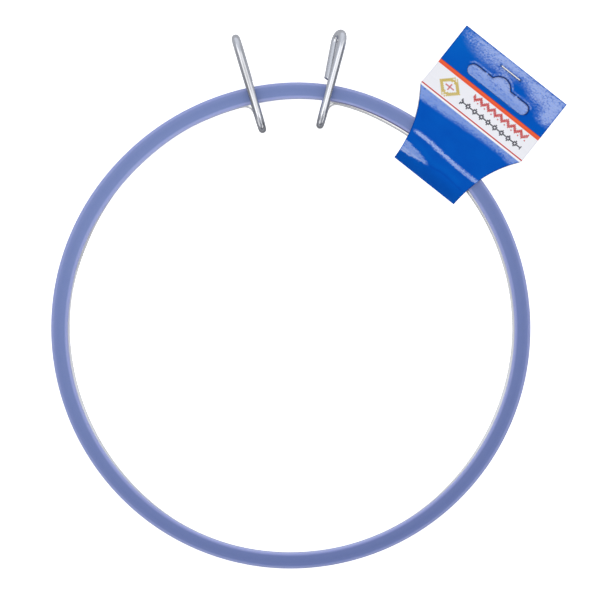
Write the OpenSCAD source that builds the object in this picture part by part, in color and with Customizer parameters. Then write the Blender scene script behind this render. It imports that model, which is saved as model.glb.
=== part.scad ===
// Spring tension embroidery hoop, lying flat with its handles up (+Z) and towards +Y.
// Origin: the centre of the ring's round part, on the plane of its underside.
// The plastic ring is pulled slightly egg-shaped at the top by the spring's ends, so its
// outline is a chain of tangent arcs. The spring wire is divided where it flexes.

/* [Plastic ring] */
// Outside radius of the ring's round part
ring_r = 94.5; // [92:0.5:97]
// Outside radius of the flatter arcs beside the handles
shoulder_r = 98.6; // [97.5:0.1:100]
// Angle from the bottom, along the outline, at which the flatter arcs start
shoulder_start = 97; // [92:1:105]
// Angle from the bottom at which the tighter arc between the handles starts
crown_start = 164; // [160:1:168]
// Turn of the outline's long axis towards the right handle
ring_tilt = 11; // [0:1:14]
// Width of the ring, from its outer wall to its inner lip
ring_w = 6.45; // [6.3:0.05:6.7]
// Height of the ring
ring_h = 7.5; // [7:0.1:9]
// Depth of the groove in the inner wall
groove_depth = 3.95; // [3.9:0.05:4.2]
// Height of the groove
groove_h = 3.6; // [3.5:0.1:4]
// Radius on the ring's outer edges
outer_round = 1.5; // [0.8:0.1:2]
// Radius on the edges of the two lips
lip_round = 0.8; // [0.3:0.1:0.9]

/* [Spring wire] */
// Diameter of the spring wire
wire_d = 3.3; // [3:0.1:3.4]
// Distance from the hoop's centre down to the wire's centre line at the bottom
wire_bottom = 90.15; // [89.9:0.05:90.2]
// Bend radius of the wire at the bottom, between the first two flex points
base_bend_r = 88.4; // [88:0.1:88.8]
// Height of the handles' front strands above the ring's underside, to the wire's centre
front_z = 10; // [9.8:0.1:11]

/* [Handles] */
// Inner tip of the right handle's front strand, X
right_tip_x = 11.5; // [11:0.1:13]
// Inner tip of the right handle's front strand, Y
right_tip_y = 80.3; // [78:0.1:81]
// Outer end of the right handle's front strand, X
right_end_x = 21.2; // [19:0.1:22]
// Outer end of the right handle's front strand, Y
right_end_y = 116.1; // [112:0.1:118]
// Inner tip of the left handle's front strand, distance left of the centre
left_tip_x = 11.1; // [11:0.1:13]
// Inner tip of the left handle's front strand, Y
left_tip_y = 78.6; // [77:0.1:80]
// Outer end of the left handle's front strand, distance left of the centre
left_end_x = 21.9; // [20:0.1:23]
// Outer end of the left handle's front strand, Y
left_end_y = 114.5; // [112:0.1:118]

// Radius of the eye at the outer end of each handle, to the wire's centre
eye_r = 3.4; // [3.3:0.05:3.5]
// Turn of the eye, a little more than half a turn, so that the strands come together
eye_turn = 191; // [186:0.5:191]
// Lean of the right eye's plane towards the gap
right_lean = 25; // [15:1:28]
// Lean of the left eye's plane towards the gap
left_lean = 5; // [0:1:10]
// Length of the right handle's rear strand
right_rear = 15.6; // [13:0.1:15.8]
// Length of the left handle's rear strand
left_rear = 14.8; // [13:0.1:15]

/* [Tag] */
// Width of the tag's header
tag_w = 50.6; // [48:0.1:51]
// Width of the tag at its crease
crease_w = 29.9; // [26:0.1:32]
// Length of the tag from its crease to its top edge
tag_len = 58.8; // [57.5:0.1:60]
// Thickness of the card
card_t = 0.4; // [0.3:0.05:0.45]
// Distance from the hoop's centre to the crease
crease_at = 78.8; // [78:0.1:79.5]
// Direction of the tag, clockwise from the handles
tag_turn = 38.45; // [36:0.05:45]
// Sideways offset of the tag's middle line from the hoop's centre
tag_offset = 5.1; // [4:0.1:7]
// Width of the staple's crown
staple_w = 9.8; // [8:0.1:12]

/* [Hidden] */
$fn = 72;

plastic = [0.46, 0.51, 0.73];
steel = [0.80, 0.81, 0.83];
card = [0.05, 0.33, 0.72];

wr = wire_d / 2;
mid_z = ring_h / 2;

// ---------- outline of the plastic ring, in its own tilted frame ----------
// n(a) points outwards at angle a from the bottom, towards the right
function n2(a) = [sin(a), -cos(a)];
crown_r = (ring_r * sin(shoulder_start) + shoulder_r * (sin(crown_start) - sin(shoulder_start))) / sin(crown_start);
shoulder_c = (ring_r - shoulder_r) * n2(shoulder_start);
crown_c = shoulder_c + (shoulder_r - crown_r) * n2(crown_start);

// Cross-section of the ring with its outer wall at x = 0 and the hoop's centre towards -x
module ring_section() {
    r = outer_round;
    q = lip_round;
    fl = (ring_h - groove_h) / 2;
    difference() {
        union() {
            translate([-ring_w + q, 0]) square([ring_w - q - r, ring_h]);
            translate([-r - 0.5, r]) square([r + 0.5, ring_h - 2 * r]);
            translate([-r, r]) circle(r);
            translate([-r, ring_h - r]) circle(r);
            translate([-ring_w, q]) square([q + 0.5, ring_h - 2 * q]);
            translate([-ring_w + q, q]) circle(q);
            translate([-ring_w + q, ring_h - q]) circle(q);
        }
        translate([-ring_w - 1, fl]) square([groove_depth + 1, groove_h]);
    }
}

// One arc of the ring: centre, outside radius, first and last angle from the bottom
module ring_arc(c, r, a0, a1)
    translate([c[0], c[1], 0]) rotate([0, 0, a0 - 90])
        rotate_extrude(angle = a1 - a0, $fn = 240) translate([r, 0]) ring_section();

module outer_ring()
    color(plastic) rotate([0, 0, -ring_tilt]) union() {
        ring_arc([0, 0], ring_r, -shoulder_start, shoulder_start);
        ring_arc(shoulder_c, shoulder_r, shoulder_start, crown_start);
        ring_arc([-shoulder_c[0], shoulder_c[1]], shoulder_r, -crown_start, -shoulder_start);
        ring_arc(crown_c, crown_r, crown_start, 360 - crown_start);
    }

// ---------- the spring ring: arcs between flex points ----------
// Flex points, in degrees from the bottom, and the end of the groove's run on each side
flex = [0, 15, 45, 75, 105, 135];
right_run_end = 166.2;
left_run_end = 165.5;
right_bends = [base_bend_r, 87.2, 93.4, 88.8, 96, 89.8];
left_bends = [base_bend_r, 86.2, 94.8, 87.2, 95.4, 91.6];

function stops(end) = concat(flex, [end]);
// Centre of arc i, and the point of the centre line at the angle a on it
function arc_c(bends, i) = i == 0 ? [0, -wire_bottom + bends[0]]
    : arc_c(bends, i - 1) + (bends[i - 1] - bends[i]) * n2(flex[i]);
function on_wire(bends, i, a) = arc_c(bends, i) + bends[i] * n2(a);

module wire_arc(bends, i, a0, a1, side) {
    c = arc_c(bends, i);
    translate([side * c[0], c[1], mid_z])
        rotate([0, 0, side > 0 ? a0 - 90 : 270 - a1])
            rotate_extrude(angle = a1 - a0, $fn = 240) translate([bends[i], 0]) circle(wr, $fn = 32);
}

module spring_bottom()
    color(steel) wire_arc(right_bends, 0, -flex[1], flex[1], 1);

module spring_link(bends, i, end, side)
    color(steel) wire_arc(bends, i, stops(end)[i], stops(end)[i + 1], side);

// ---------- handles: one wire drawn run by run and bend by bend ----------
function unit(v) = v / norm(v);

bend_wr = wr - 0.02;    // the wire thins a touch where it is bent
lap = 3;                // degrees by which a bend starts and ends inside its neighbours

// Draws the moves m from the origin along +Z. A move is [length], or [radius, angle, roll]:
// roll turns the frame about the wire, and the bend then goes towards the frame's +X.
module wire_moves(m, i = 0)
    if (i < len(m)) {
        if (len(m[i]) == 1) {
            cylinder(r = wr, h = m[i][0], $fn = 32);
            translate([0, 0, m[i][0]]) wire_moves(m, i + 1);
        } else {
            r = m[i][0];
            a = m[i][1];
            before = i == 0 ? 0 : lap;
            rotate([0, 0, m[i][2]]) {
                translate([r, 0, 0]) rotate([90, 0, 0]) rotate([0, 0, 180 - a - lap])
                    rotate_extrude(angle = a + lap + before, $fn = 96) translate([r, 0]) circle(bend_wr, $fn = 32);
                translate([r * (1 - cos(a)), 0, r * sin(a)]) rotate([0, a, 0]) wire_moves(m, i + 1);
            }
        }
    }

// One handle, drawn for the right side. s and h: end of the run in the groove and its heading.
// The wire bends in to the line of the front strand, turns up at the tip, runs out over the
// ring, and comes back under in a teardrop eye whose plane leans by lean towards the gap.
module handle(s, h, tip, end, lean, rear) {
    d = unit(end - tip);
    w = tip - s;
    leg = (w[0] * d[1] - w[1] * d[0]) / (cos(h) * d[1] - sin(h) * d[0]);
    inner_turn = atan2(-d[1], -d[0]) + 360 - h;
    r1 = leg / tan(inner_turn / 2);
    corner = s + leg * [cos(h), sin(h)];
    tip_r = (front_z - mid_z) / 2;
    translate([s[0], s[1], mid_z]) rotate([0, 0, h]) rotate([0, 90, 0]) wire_moves([
        [r1, inner_turn, 90],
        [norm(tip - corner) - leg - tip_r],
        [tip_r, 180, 90],
        [norm(end - tip) - tip_r - eye_r],
        [eye_r, eye_turn, lean],
        [rear]
    ]);
}

module right_handle()
    color(steel) handle(on_wire(right_bends, 5, right_run_end), right_run_end,
        [right_tip_x, right_tip_y], [right_end_x, right_end_y], right_lean, right_rear);

module left_handle()
    color(steel) mirror([1, 0, 0]) handle(on_wire(left_bends, 5, left_run_end), left_run_end,
        [left_tip_x, left_tip_y], [left_end_x, left_end_y], left_lean, left_rear);

// ---------- card tag: profile along its length (s from the crease, z), then cut to its outline ----------
rise_end = 5.9;      // the front panel is clear of the ring from here
over_end = 18.9;     // to here
flat_from = 50;      // the panels lie together from here to the top edge
crease_z = 3.2;
over_z = ring_h + 0.35 + card_t / 2;
under_z = -0.05 - card_t / 2;
shut_back_z = 0.2;
shut_front_z = shut_back_z + card_t + 0.1;

function front_z_at(s) =
    s < rise_end ? crease_z + (over_z - crease_z) * sin(90 * s / rise_end)
    : s < over_end ? over_z + 0.45 * sin(180 * (s - rise_end) / (over_end - rise_end))
    : s < flat_from ? shut_front_z + (over_z - shut_front_z) * (1 + cos(180 * (s - over_end) / (flat_from - over_end))) / 2
    : shut_front_z;
function back_z_at(s) =
    s < rise_end ? crease_z + (under_z - crease_z) * sin(90 * s / rise_end)
    : s < over_end ? under_z
    : s < flat_from ? under_z + (shut_back_z - under_z) * (s - over_end) / (flat_from - over_end)
    : shut_back_z;

s_list = concat([for (i = [1:6]) rise_end * i / 6], [for (i = [1:6]) rise_end + (over_end - rise_end) * i / 6],
    [for (i = [1:10]) over_end + (flat_from - over_end) * i / 10], [tag_len]);
count = len(s_list);
// Middle line of the card, from the front panel's top edge round the crease to the back panel's top edge
mid_line = concat([for (i = [count - 1:-1:0]) [s_list[i], front_z_at(s_list[i])]], [[0, crease_z]],
    [for (i = [0:count - 1]) [s_list[i], back_z_at(s_list[i])]]);
line_n = len(mid_line);
function side_of(i) =
    let (a = mid_line[max(0, i - 1)], b = mid_line[min(line_n - 1, i + 1)], d = unit(b - a)) [-d[1], d[0]];
tag_profile = concat([for (i = [0:line_n - 1]) mid_line[i] + side_of(i) * card_t / 2],
    [for (i = [line_n - 1:-1:0]) mid_line[i] - side_of(i) * card_t / 2]);

corner_s = 29.4;
function half_width(s) = s >= corner_s ? tag_w / 2
    : crease_w / 2 + (tag_w - crease_w) / 2 * pow(s / corner_s, 2.1);
edge_s = concat([-1], [for (i = [0:14]) corner_s * i / 14], [tag_len + 1]);
tag_outline = concat([for (s = edge_s) [half_width(max(0, s)), s]],
    [for (i = [len(edge_s) - 1:-1:0]) [-half_width(max(0, edge_s[i])), edge_s[i]]]);

// Places its child, drawn with x across the tag and y from the crease to the top, on the hoop
module on_tag()
    rotate([0, 0, -tag_turn]) translate([tag_offset, crease_at, 0]) children();

// The hang slot and the staple stand a little to the right of the card's middle line
mid_b = 0.2;

// Hang slot: a bar with a bump towards the staple, grown by g
module slot_shape(g) translate([mid_b, 46.5]) {
    translate([-12.4 - g, -2.45 - g]) square([24.8 + 2 * g, 4.9 + 2 * g]);
    translate([-12.4, 0]) circle(2.45 + g);
    translate([12.4, 0]) circle(2.45 + g);
    translate([0, 0.6]) circle(4.65 + g);
}

// The slot is die-cut but not pushed out: a fine kerf with four bridges
module slot_kerf()
    translate([0, 0, shut_front_z - 0.25]) linear_extrude(4) difference() {
        difference() {
            slot_shape(0.12);
            slot_shape(-0.12);
        }
        translate([mid_b - 8, 42]) square([1, 8]);
        translate([mid_b + 7, 42]) square([1, 8]);
    }

staple_s = 54.8;
staple_t = 0.45;
leg_x = staple_w / 2 - staple_t / 2;

module card_tag()
    color(card) on_tag() difference() {
        intersection() {
            rotate([90, 0, 90]) translate([0, 0, -tag_w / 2 - 1]) linear_extrude(tag_w + 2) polygon(tag_profile);
            translate([0, 0, -2]) linear_extrude(16) polygon(tag_outline);
        }
        slot_kerf();
        for (x = [-leg_x, leg_x])
            translate([mid_b + x - staple_t / 2 - 0.05, staple_s - staple_t / 2 - 0.05, -1]) cube([staple_t + 0.1, staple_t + 0.1, 4]);
    }

module staple() {
    top = shut_front_z + card_t / 2;
    bottom = shut_back_z - card_t / 2;
    color(steel) on_tag() translate([mid_b, staple_s - staple_t / 2, 0]) union() {
        translate([-staple_w / 2, 0, top]) cube([staple_w, staple_t, staple_t]);
        for (m = [0, 1]) mirror([m, 0, 0]) {
            translate([leg_x - staple_t / 2, 0, bottom - 0.4]) cube([staple_t, staple_t, top - bottom + 0.4 + 0.01]);
            translate([leg_x - 3.2, 0, bottom - 0.4]) cube([3.2, staple_t, 0.38]);
        }
    }
}

outer_ring();
spring_bottom();
spring_link(right_bends, 1, right_run_end, 1);  // spring_right_lower
spring_link(right_bends, 2, right_run_end, 1);  // spring_right_low_side
spring_link(right_bends, 3, right_run_end, 1);  // spring_right_side
spring_link(right_bends, 4, right_run_end, 1);  // spring_right_high_side
spring_link(right_bends, 5, right_run_end, 1);  // spring_right_upper
spring_link(left_bends, 1, left_run_end, -1);  // spring_left_lower
spring_link(left_bends, 2, left_run_end, -1);  // spring_left_low_side
spring_link(left_bends, 3, left_run_end, -1);  // spring_left_side
spring_link(left_bends, 4, left_run_end, -1);  // spring_left_high_side
spring_link(left_bends, 5, left_run_end, -1);  // spring_left_upper
right_handle();
left_handle();
card_tag();
staple();
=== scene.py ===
"""Spring tension embroidery hoop: plastic ring, spring wire with two hairpin handles, folded card tag, staple."""
import math

import bpy
import bmesh
import numpy as np
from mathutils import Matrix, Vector


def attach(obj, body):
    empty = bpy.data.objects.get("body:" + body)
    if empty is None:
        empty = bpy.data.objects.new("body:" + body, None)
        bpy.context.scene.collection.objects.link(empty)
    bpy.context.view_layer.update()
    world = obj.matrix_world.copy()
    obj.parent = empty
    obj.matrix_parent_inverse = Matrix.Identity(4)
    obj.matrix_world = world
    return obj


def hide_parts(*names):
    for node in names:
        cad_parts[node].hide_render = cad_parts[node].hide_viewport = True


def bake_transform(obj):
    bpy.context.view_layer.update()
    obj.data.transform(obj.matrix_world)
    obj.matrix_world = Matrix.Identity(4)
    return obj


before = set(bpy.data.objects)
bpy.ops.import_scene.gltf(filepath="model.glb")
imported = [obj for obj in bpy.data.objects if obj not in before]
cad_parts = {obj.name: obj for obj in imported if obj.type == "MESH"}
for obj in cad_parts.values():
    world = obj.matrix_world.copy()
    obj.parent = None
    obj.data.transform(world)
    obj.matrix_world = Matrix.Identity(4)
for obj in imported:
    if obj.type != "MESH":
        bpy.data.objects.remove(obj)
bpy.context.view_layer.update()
MM = 0.001

# ------------------------------------------------------------------ measures, as in the model (mm)
RING_R, SHOULDER_R, SHOULDER, CROWN, TILT = 94.5, 98.6, 97.0, 164.0, 11.0
RING_W, RING_H, GROOVE_D, GROOVE_H, OUT_ROUND, LIP_ROUND = 6.45, 7.5, 3.95, 3.6, 1.5, 0.8
WR, BOTTOM, MID_Z, FRONT_Z = 1.65, 90.15, 3.75, 10.0
FLEX = [0, 15, 45, 75, 105, 135]
RUN_END = {"right": 166.2, "left": 165.5}
BENDS = {"right": [88.4, 87.2, 93.4, 88.8, 96, 89.8], "left": [88.4, 86.2, 94.8, 87.2, 95.4, 91.6]}
TIP = {"right": (11.5, 80.3), "left": (11.1, 78.6)}
END = {"right": (21.2, 116.1), "left": (21.9, 114.5)}
EYE_R, EYE_TURN = 3.4, 191.0
EASE, EASE_R = 18.0, 14.0
LEAN = {"right": 25.0, "left": 3.2}
REAR = {"right": 15.6, "left": 14.8}
SIDE = {"right": 1, "left": -1}


def n2(a):
    a = math.radians(a)
    return np.array([math.sin(a), -math.cos(a)])


# ------------------------------------------------------------------ node helpers
def new_material(name):
    m = bpy.data.materials.new(name)
    m.use_nodes = True
    nt = m.node_tree
    bsdf = nt.nodes["Principled BSDF"]
    return m, nt, bsdf


def node(nt, kind, **kw):
    n = nt.nodes.new(kind)
    for k, v in kw.items():
        setattr(n, k, v)
    return n


def math_node(nt, op, a, b=None, c=None, clamp=False):
    n = nt.nodes.new("ShaderNodeMath")
    n.operation = op
    n.use_clamp = clamp
    for i, v in enumerate((a, b, c)):
        if v is None:
            continue
        if isinstance(v, (int, float)):
            n.inputs[i].default_value = v
        else:
            nt.links.new(v, n.inputs[i])
    return n.outputs[0]


def mix_col(nt, fac, a, b, mode="MIX"):
    n = nt.nodes.new("ShaderNodeMix")
    n.data_type = "RGBA"
    n.blend_type = mode
    for sock, v in ((n.inputs[0], fac), (n.inputs[6], a), (n.inputs[7], b)):
        if isinstance(v, (int, float)):
            sock.default_value = v
        elif isinstance(v, tuple):
            sock.default_value = v if len(v) == 4 else (*v, 1)
        else:
            nt.links.new(v, sock)
    return n.outputs[2]


def ramp(nt, fac, stops, mode="EASE"):
    n = nt.nodes.new("ShaderNodeValToRGB")
    n.color_ramp.interpolation = mode
    e = n.color_ramp.elements
    while len(e) < len(stops):
        e.new(0.5)
    for i, (p, c) in enumerate(stops):
        e[i].position = p
        e[i].color = c if len(c) == 4 else (*c, 1)
    nt.links.new(fac, n.inputs[0])
    return n.outputs[0]


def attr(nt, name):
    n = nt.nodes.new("ShaderNodeAttribute")
    n.attribute_name = name
    return n.outputs["Fac"]


def noise(nt, scale, detail=3.0, rough=0.5, vector=None, dims="3D"):
    n = nt.nodes.new("ShaderNodeTexNoise")
    n.noise_dimensions = dims
    n.inputs["Scale"].default_value = scale
    n.inputs["Detail"].default_value = detail
    n.inputs["Roughness"].default_value = rough
    if vector is None:
        vector = nt.nodes.new("ShaderNodeTexCoord").outputs["Object"]
    nt.links.new(vector, n.inputs["Vector"])
    return n.outputs["Fac"]


def bump(nt, bsdf, height, dist, strength=1.0):
    n = nt.nodes.new("ShaderNodeBump")
    n.inputs["Strength"].default_value = strength
    n.inputs["Distance"].default_value = dist
    nt.links.new(height, n.inputs["Height"])
    nt.links.new(n.outputs[0], bsdf.inputs["Normal"])


def srgb(r, g, b):
    f = lambda c: (c / 255 / 12.92) if c / 255 <= 0.04045 else ((c / 255 + 0.055) / 1.055) ** 2.4
    return (f(r), f(g), f(b))


# ------------------------------------------------------------------ materials
def plastic_material():
    m, nt, b = new_material("moulded_plastic")
    across = attr(nt, "across")      # 0 outer wall, 1 inner lip
    # painted highlight: the ramp paints both rounded edges pale, lighter than the flat top between them
    base = ramp(nt, across, [
        (0.00, (0.42, 0.46, 0.74)), (0.10, (0.34, 0.385, 0.675)), (0.24, (0.197, 0.256, 0.515)), (0.45, (0.168, 0.232, 0.483)),
        (0.765, (0.186, 0.250, 0.507)), (0.90, (0.39, 0.435, 0.745)), (1.00, (0.56, 0.60, 0.88))])
    tint = noise(nt, 22.0, 2.0)
    base = mix_col(nt, math_node(nt, "MULTIPLY", tint, 0.35), base, (0.20, 0.27, 0.55))
    speck = noise(nt, 900.0, 2.0)
    base = mix_col(nt, math_node(nt, "MULTIPLY", math_node(nt, "SUBTRACT", speck, 0.5), 0.25, clamp=True), base, (0.3, 0.34, 0.6))
    # painted light: the ring is painted darker on one side, as if lit from the other, and its pale rounded edges are
    # kept all round
    painted_light = math_node(nt, "MAXIMUM", attr(nt, "painted_light"), math_node(nt, "MULTIPLY", math_node(nt, "SUBTRACT", across, 0.84), 4.5, clamp=True))
    painted_light = math_node(nt, "MAXIMUM", painted_light, math_node(nt, "MULTIPLY", math_node(nt, "SUBTRACT", 0.25, across), 7.5, clamp=True))
    base = mix_col(nt, painted_light, mix_col(nt, 1.0, base, (0.71, 0.72, 0.80), "MULTIPLY"), base)
    # painted shadow: a fine dark line along the lip's edge, right of the handles, for the shaded gap between the lip
    # and the wire
    rub_and_gap_shade = math_node(nt, "MULTIPLY", math_node(nt, "MULTIPLY", math_node(nt, "SUBTRACT", across, 0.925), 22.0, clamp=True), attr(nt, "seam_and_gap_shade"))
    base = mix_col(nt, math_node(nt, "MULTIPLY", rub_and_gap_shade, 0.92), base, (0.085, 0.065, 0.19))
    nt.links.new(base, b.inputs["Base Color"])
    r = math_node(nt, "ADD", 0.30, math_node(nt, "MULTIPLY", noise(nt, 140.0, 4.0), 0.18))
    nt.links.new(r, b.inputs["Roughness"])
    b.inputs["IOR"].default_value = 1.49
    b.inputs["Subsurface Weight"].default_value = 0.25
    b.inputs["Subsurface Radius"].default_value = (0.7, 0.8, 1.4)
    b.inputs["Subsurface Scale"].default_value = 0.0012
    h = math_node(nt, "ADD", math_node(nt, "MULTIPLY", noise(nt, 1400.0, 3.0), 0.4), noise(nt, 160.0, 2.0))
    bump(nt, b, h, 0.00006, 0.5)
    return m


def steel_material(name="nickel_wire", rough=0.10, tone=(0.64, 0.645, 0.665)):
    m, nt, b = new_material(name)
    along, round_c, round_s = attr(nt, "along"), attr(nt, "round_c"), attr(nt, "round_s")

    def lengthwise(stretch, turn):
        comb = nt.nodes.new("ShaderNodeCombineXYZ")
        nt.links.new(math_node(nt, "MULTIPLY", along, stretch), comb.inputs[0])
        nt.links.new(math_node(nt, "MULTIPLY", round_c, turn), comb.inputs[1])
        nt.links.new(math_node(nt, "MULTIPLY", round_s, turn), comb.inputs[2])
        return comb.outputs[0]

    draw = noise(nt, 3.0, 4.0, 0.6, vector=lengthwise(0.06, 1.4))
    rub_and_gap_shade = noise(nt, 3.0, 2.0, 0.5, vector=lengthwise(0.022, 0.85))
    blotch = noise(nt, 260.0, 3.0)
    col = mix_col(nt, math_node(nt, "MULTIPLY", blotch, 0.5), tone, (0.60, 0.61, 0.655))
    # fine lengthwise drawing lines, stronger where the plating has rubbed
    line = math_node(nt, "MULTIPLY", math_node(nt, "SUBTRACT", rub_and_gap_shade, 0.44), 7.0, clamp=True)
    col = mix_col(nt, math_node(nt, "MULTIPLY", line, math_node(nt, "ADD", 0.12, math_node(nt, "MULTIPLY", attr(nt, "worn"), 0.8))), col, (0.45, 0.455, 0.47))
    # where the wire lies in the groove it is painted near-white and made less metallic, partly a satin finish and
    # partly a painted sheen; the handles are polished by use
    dull = math_node(nt, "SUBTRACT", 1.0, attr(nt, "polish"))
    col = mix_col(nt, math_node(nt, "MULTIPLY", dull, 0.97), col, (0.995, 0.99, 0.97))
    # painted shade and reflection: grey round the nose of each handle's tip bend and in a line along the groove wire's
    # inner side, nearly black on the cut face
    col = mix_col(nt, math_node(nt, "MINIMUM", attr(nt, "painted_dark"), 1.0), col, (0.27, 0.275, 0.29))
    col = mix_col(nt, math_node(nt, "GREATER_THAN", attr(nt, "painted_dark"), 1.1), col, (0.09, 0.09, 0.13))
    nt.links.new(col, b.inputs["Base Color"])
    r = math_node(nt, "ADD", rough, math_node(nt, "MULTIPLY", math_node(nt, "ADD", draw, blotch), 0.07))
    nt.links.new(math_node(nt, "SUBTRACT", 1.0, math_node(nt, "MULTIPLY", dull, attr(nt, "satin_and_painted_sheen"))), b.inputs["Metallic"])
    r = math_node(nt, "ADD", r, math_node(nt, "MULTIPLY", dull, 0.03))
    nt.links.new(r, b.inputs["Roughness"])
    h = math_node(nt, "ADD", math_node(nt, "MULTIPLY", draw, 0.6), math_node(nt, "MULTIPLY", noise(nt, 520.0, 2.0), 0.5))
    bump(nt, b, h, 0.00004, 0.6)
    return m


def card_material():
    m, nt, b = new_material("printed_card")
    s, x, front = attr(nt, "tag_s"), attr(nt, "tag_b"), attr(nt, "tag_front")
    M = lambda op, p, q=None, clamp=False: math_node(nt, op, p, q, clamp=clamp)

    def step(v, edge, soft=0.06):
        n = nt.nodes.new("ShaderNodeMapRange")
        n.inputs["From Min"].default_value = edge - soft
        n.inputs["From Max"].default_value = edge + soft
        nt.links.new(v, n.inputs["Value"])
        return n.outputs[0]

    def band(v, lo, hi, soft=0.06):
        return M("MULTIPLY", step(v, lo, soft), M("SUBTRACT", 1.0, step(v, hi, soft)))

    # coordinates in the card's own plane, for the paper's grain and the print
    plane = nt.nodes.new("ShaderNodeCombineXYZ")
    nt.links.new(x, plane.inputs[0])
    nt.links.new(s, plane.inputs[1])
    grain = nt.nodes.new("ShaderNodeCombineXYZ")
    nt.links.new(M("MULTIPLY", x, 0.30), grain.inputs[0])
    nt.links.new(s, grain.inputs[1])
    plane, grain = plane.outputs[0], grain.outputs[0]
    cloud = noise(nt, 0.11, 2.0, vector=plane)
    fibre = noise(nt, 2.3, 4.0, 0.7, vector=grain)
    patch = noise(nt, 0.5, 3.0, 0.6, vector=grain)
    blue = mix_col(nt, step(cloud, 0.5, 0.25), (0.0, 0.083, 0.475), (0.0, 0.106, 0.525))
    blue = mix_col(nt, M("MULTIPLY", step(fibre, 0.62, 0.2), 0.25), blue, (0.002, 0.115, 0.52))
    # the ink is thinner at the header's left
    thin = M("MULTIPLY", step(s, 46.0, 5.0), M("SUBTRACT", 1.0, step(x, -14.0, 8.0)))
    blue = mix_col(nt, M("MULTIPLY", thin, 0.75), blue, (0.0, 0.13, 0.56))
    white = mix_col(nt, M("MULTIPLY", fibre, 0.5), (0.935, 0.92, 0.925), (0.865, 0.855, 0.885))
    white = mix_col(nt, M("LESS_THAN", s, 29.6), white, (0.97, 0.965, 0.965))
    red, orange, ink, gold = (0.60, 0.045, 0.035), (0.89, 0.122, 0.045), (0.02, 0.018, 0.03), (0.62, 0.44, 0.015)

    # header, orange stripe, white band, fine red line, white strip, neck
    col = mix_col(nt, band(s, 28.6, 40.3), blue, white)
    col = mix_col(nt, band(s, 29.42, 29.98, 0.05), col, (0.64, 0.05, 0.045))
    col = mix_col(nt, band(s, 40.27, 41.97), col, orange)
    col = mix_col(nt, band(s, 41.92, 42.08, 0.05), col, (0.10, 0.03, 0.05))

    # counted-thread borders: every stitch is a small cross in its own square
    def stitches(pitch, s0, arm, member):
        u = M("DIVIDE", M("ADD", x, 60.0), pitch)
        v = M("DIVIDE", M("SUBTRACT", s, s0), pitch)
        i, j = M("FLOOR", u), M("FLOOR", v)
        fu, fv = M("SUBTRACT", M("SUBTRACT", u, i), 0.5), M("SUBTRACT", M("SUBTRACT", v, j), 0.5)
        d = M("MINIMUM", M("ABSOLUTE", M("SUBTRACT", fu, fv)), M("ABSOLUTE", M("ADD", fu, fv)))
        near = M("LESS_THAN", M("MAXIMUM", M("ABSOLUTE", fu), M("ABSOLUTE", fv)), 0.47)
        return M("MULTIPLY", M("MULTIPLY", M("SUBTRACT", 1.0, step(d, arm, 0.08)), near), member(i, j))

    def same(p, q):
        return M("LESS_THAN", M("ABSOLUTE", M("SUBTRACT", p, q)), 0.5)

    def either(*v):
        out = v[0]
        for k in v[1:]:
            out = M("MAXIMUM", out, k)
        return out

    span = lambda lo, hi: M("MULTIPLY", M("GREATER_THAN", x, lo), M("LESS_THAN", x, hi))

    def chevron(i, j):
        # a zigzag two stitches thick, with a single stitch in each gap
        t = M("ABSOLUTE", M("SUBTRACT", M("MODULO", i, 6.0), 3.0))
        zig = M("LESS_THAN", M("ABSOLUTE", M("SUBTRACT", j, M("ADD", t, 1.0))), 1.5)
        dot = M("MULTIPLY", same(t, 3.0), same(j, 0.0))
        return M("MULTIPLY", either(zig, dot), M("LESS_THAN", M("ABSOLUTE", M("SUBTRACT", j, 2.5)), 3.1))

    def diamonds(i, j):
        # small diamonds with open centres, joined by one stitch
        t = M("ABSOLUTE", M("SUBTRACT", M("MODULO", i, 6.0), 2.0))
        d = M("ADD", t, M("ABSOLUTE", M("SUBTRACT", j, 2.0)))
        ring = M("MULTIPLY", M("LESS_THAN", d, 2.5), M("GREATER_THAN", d, 0.5))
        link = M("MULTIPLY", M("GREATER_THAN", t, 2.5), same(j, 2.0))
        return M("MULTIPLY", either(ring, link), M("LESS_THAN", M("ABSOLUTE", M("SUBTRACT", j, 2.0)), 2.5))

    col = mix_col(nt, M("MULTIPLY", stitches(0.56, 36.5, 0.50, chevron), span(-5.7, 21.2)), col, red)
    col = mix_col(nt, M("MULTIPLY", stitches(0.56, 32.0, 0.50, diamonds), span(-8.5, 21.6)), col, ink)

    # a gold wreath of stitches round a small red cross, at the left of the band
    def lozenge(i, j):
        di = M("ABSOLUTE", M("SUBTRACT", i, 74.0))
        dj = M("ABSOLUTE", M("SUBTRACT", j, 6.0))
        d = M("ADD", M("MULTIPLY", di, 0.8), dj)
        rim = M("MULTIPLY", M("LESS_THAN", d, 6.7), M("GREATER_THAN", d, 4.7))
        rays = M("MULTIPLY", M("LESS_THAN", d, 7.9), same(M("MODULO", M("ADD", di, dj), 2.0), 0.0))
        return either(rim, M("MULTIPLY", rays, M("GREATER_THAN", d, 6.2)))

    def heart(i, j):
        di = M("ABSOLUTE", M("SUBTRACT", i, 74.0))
        dj = M("ABSOLUTE", M("SUBTRACT", j, 6.0))
        return either(M("MULTIPLY", same(di, 0.0), M("LESS_THAN", dj, 2.5)), M("MULTIPLY", same(dj, 0.0), M("LESS_THAN", di, 3.5)))

    col = mix_col(nt, M("MULTIPLY", stitches(0.6, 31.1, 0.38, lozenge), span(-22.0, -8.0)), col, gold)
    col = mix_col(nt, M("MULTIPLY", stitches(0.6, 31.1, 0.32, heart), span(-22.0, -8.0)), col, red)
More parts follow.
